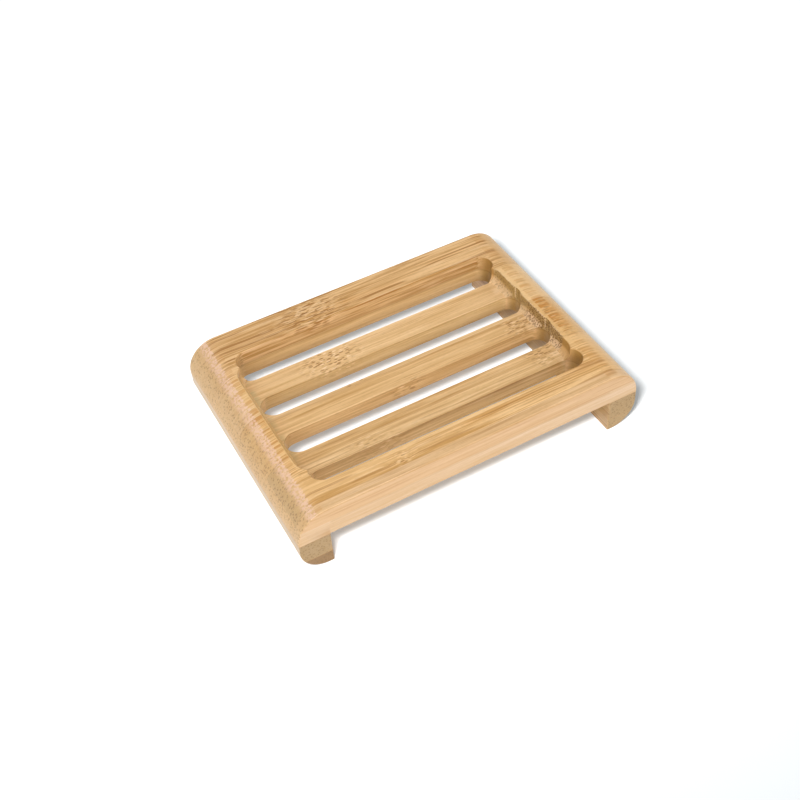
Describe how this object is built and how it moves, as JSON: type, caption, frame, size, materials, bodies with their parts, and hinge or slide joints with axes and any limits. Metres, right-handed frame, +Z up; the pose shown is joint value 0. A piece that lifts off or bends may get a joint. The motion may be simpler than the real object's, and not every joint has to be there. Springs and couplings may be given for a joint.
{
  "type": "soap dish",
  "caption": "Rectangular slatted soap dish of glued bamboo laths, with a shallow coved recess, drainage slots, rounded ends and cross feet.",
  "frame": {"origin": "middle of the footprint, on the surface that the feet stand on", "axes": "+X along the length, towards the right foot; +Y from the front edge to the back edge; +Z up"},
  "size_m": [0.12, 0.0858, 0.0236],
  "materials": {
    "streaky_bamboo": "satin clear-lacquered bamboo",
    "plain_bamboo": "satin clear-lacquered bamboo",
    "dashed_bamboo": "satin clear-lacquered bamboo",
    "golden_bamboo": "satin clear-lacquered bamboo",
    "pale_bamboo": "satin clear-lacquered bamboo",
    "knotted_bamboo": "satin clear-lacquered bamboo",
    "foot_bamboo": "satin clear-lacquered bamboo",
    "dark_foot_bamboo": "satin clear-lacquered bamboo"
  },
  "bodies": {
    "root": {"upper_back_lath": "streaky_bamboo", "upper_second_lath_left": "plain_bamboo", "upper_second_lath_right": "plain_bamboo", "upper_third_lath_left": "dashed_bamboo", "upper_third_lath_right": "dashed_bamboo", "upper_front_lath": "golden_bamboo", "upper_edge_lath": "pale_bamboo", "lower_back_lath": "streaky_bamboo", "lower_second_lath": "knotted_bamboo", "lower_third_lath": "knotted_bamboo", "lower_front_lath": "golden_bamboo", "lower_edge_lath": "pale_bamboo", "left_foot_upper_lath": "foot_bamboo", "left_foot_lower_lath": "dark_foot_bamboo", "right_foot_upper_lath": "foot_bamboo", "right_foot_lower_lath": "foot_bamboo"}
  },
  "joints": []
}
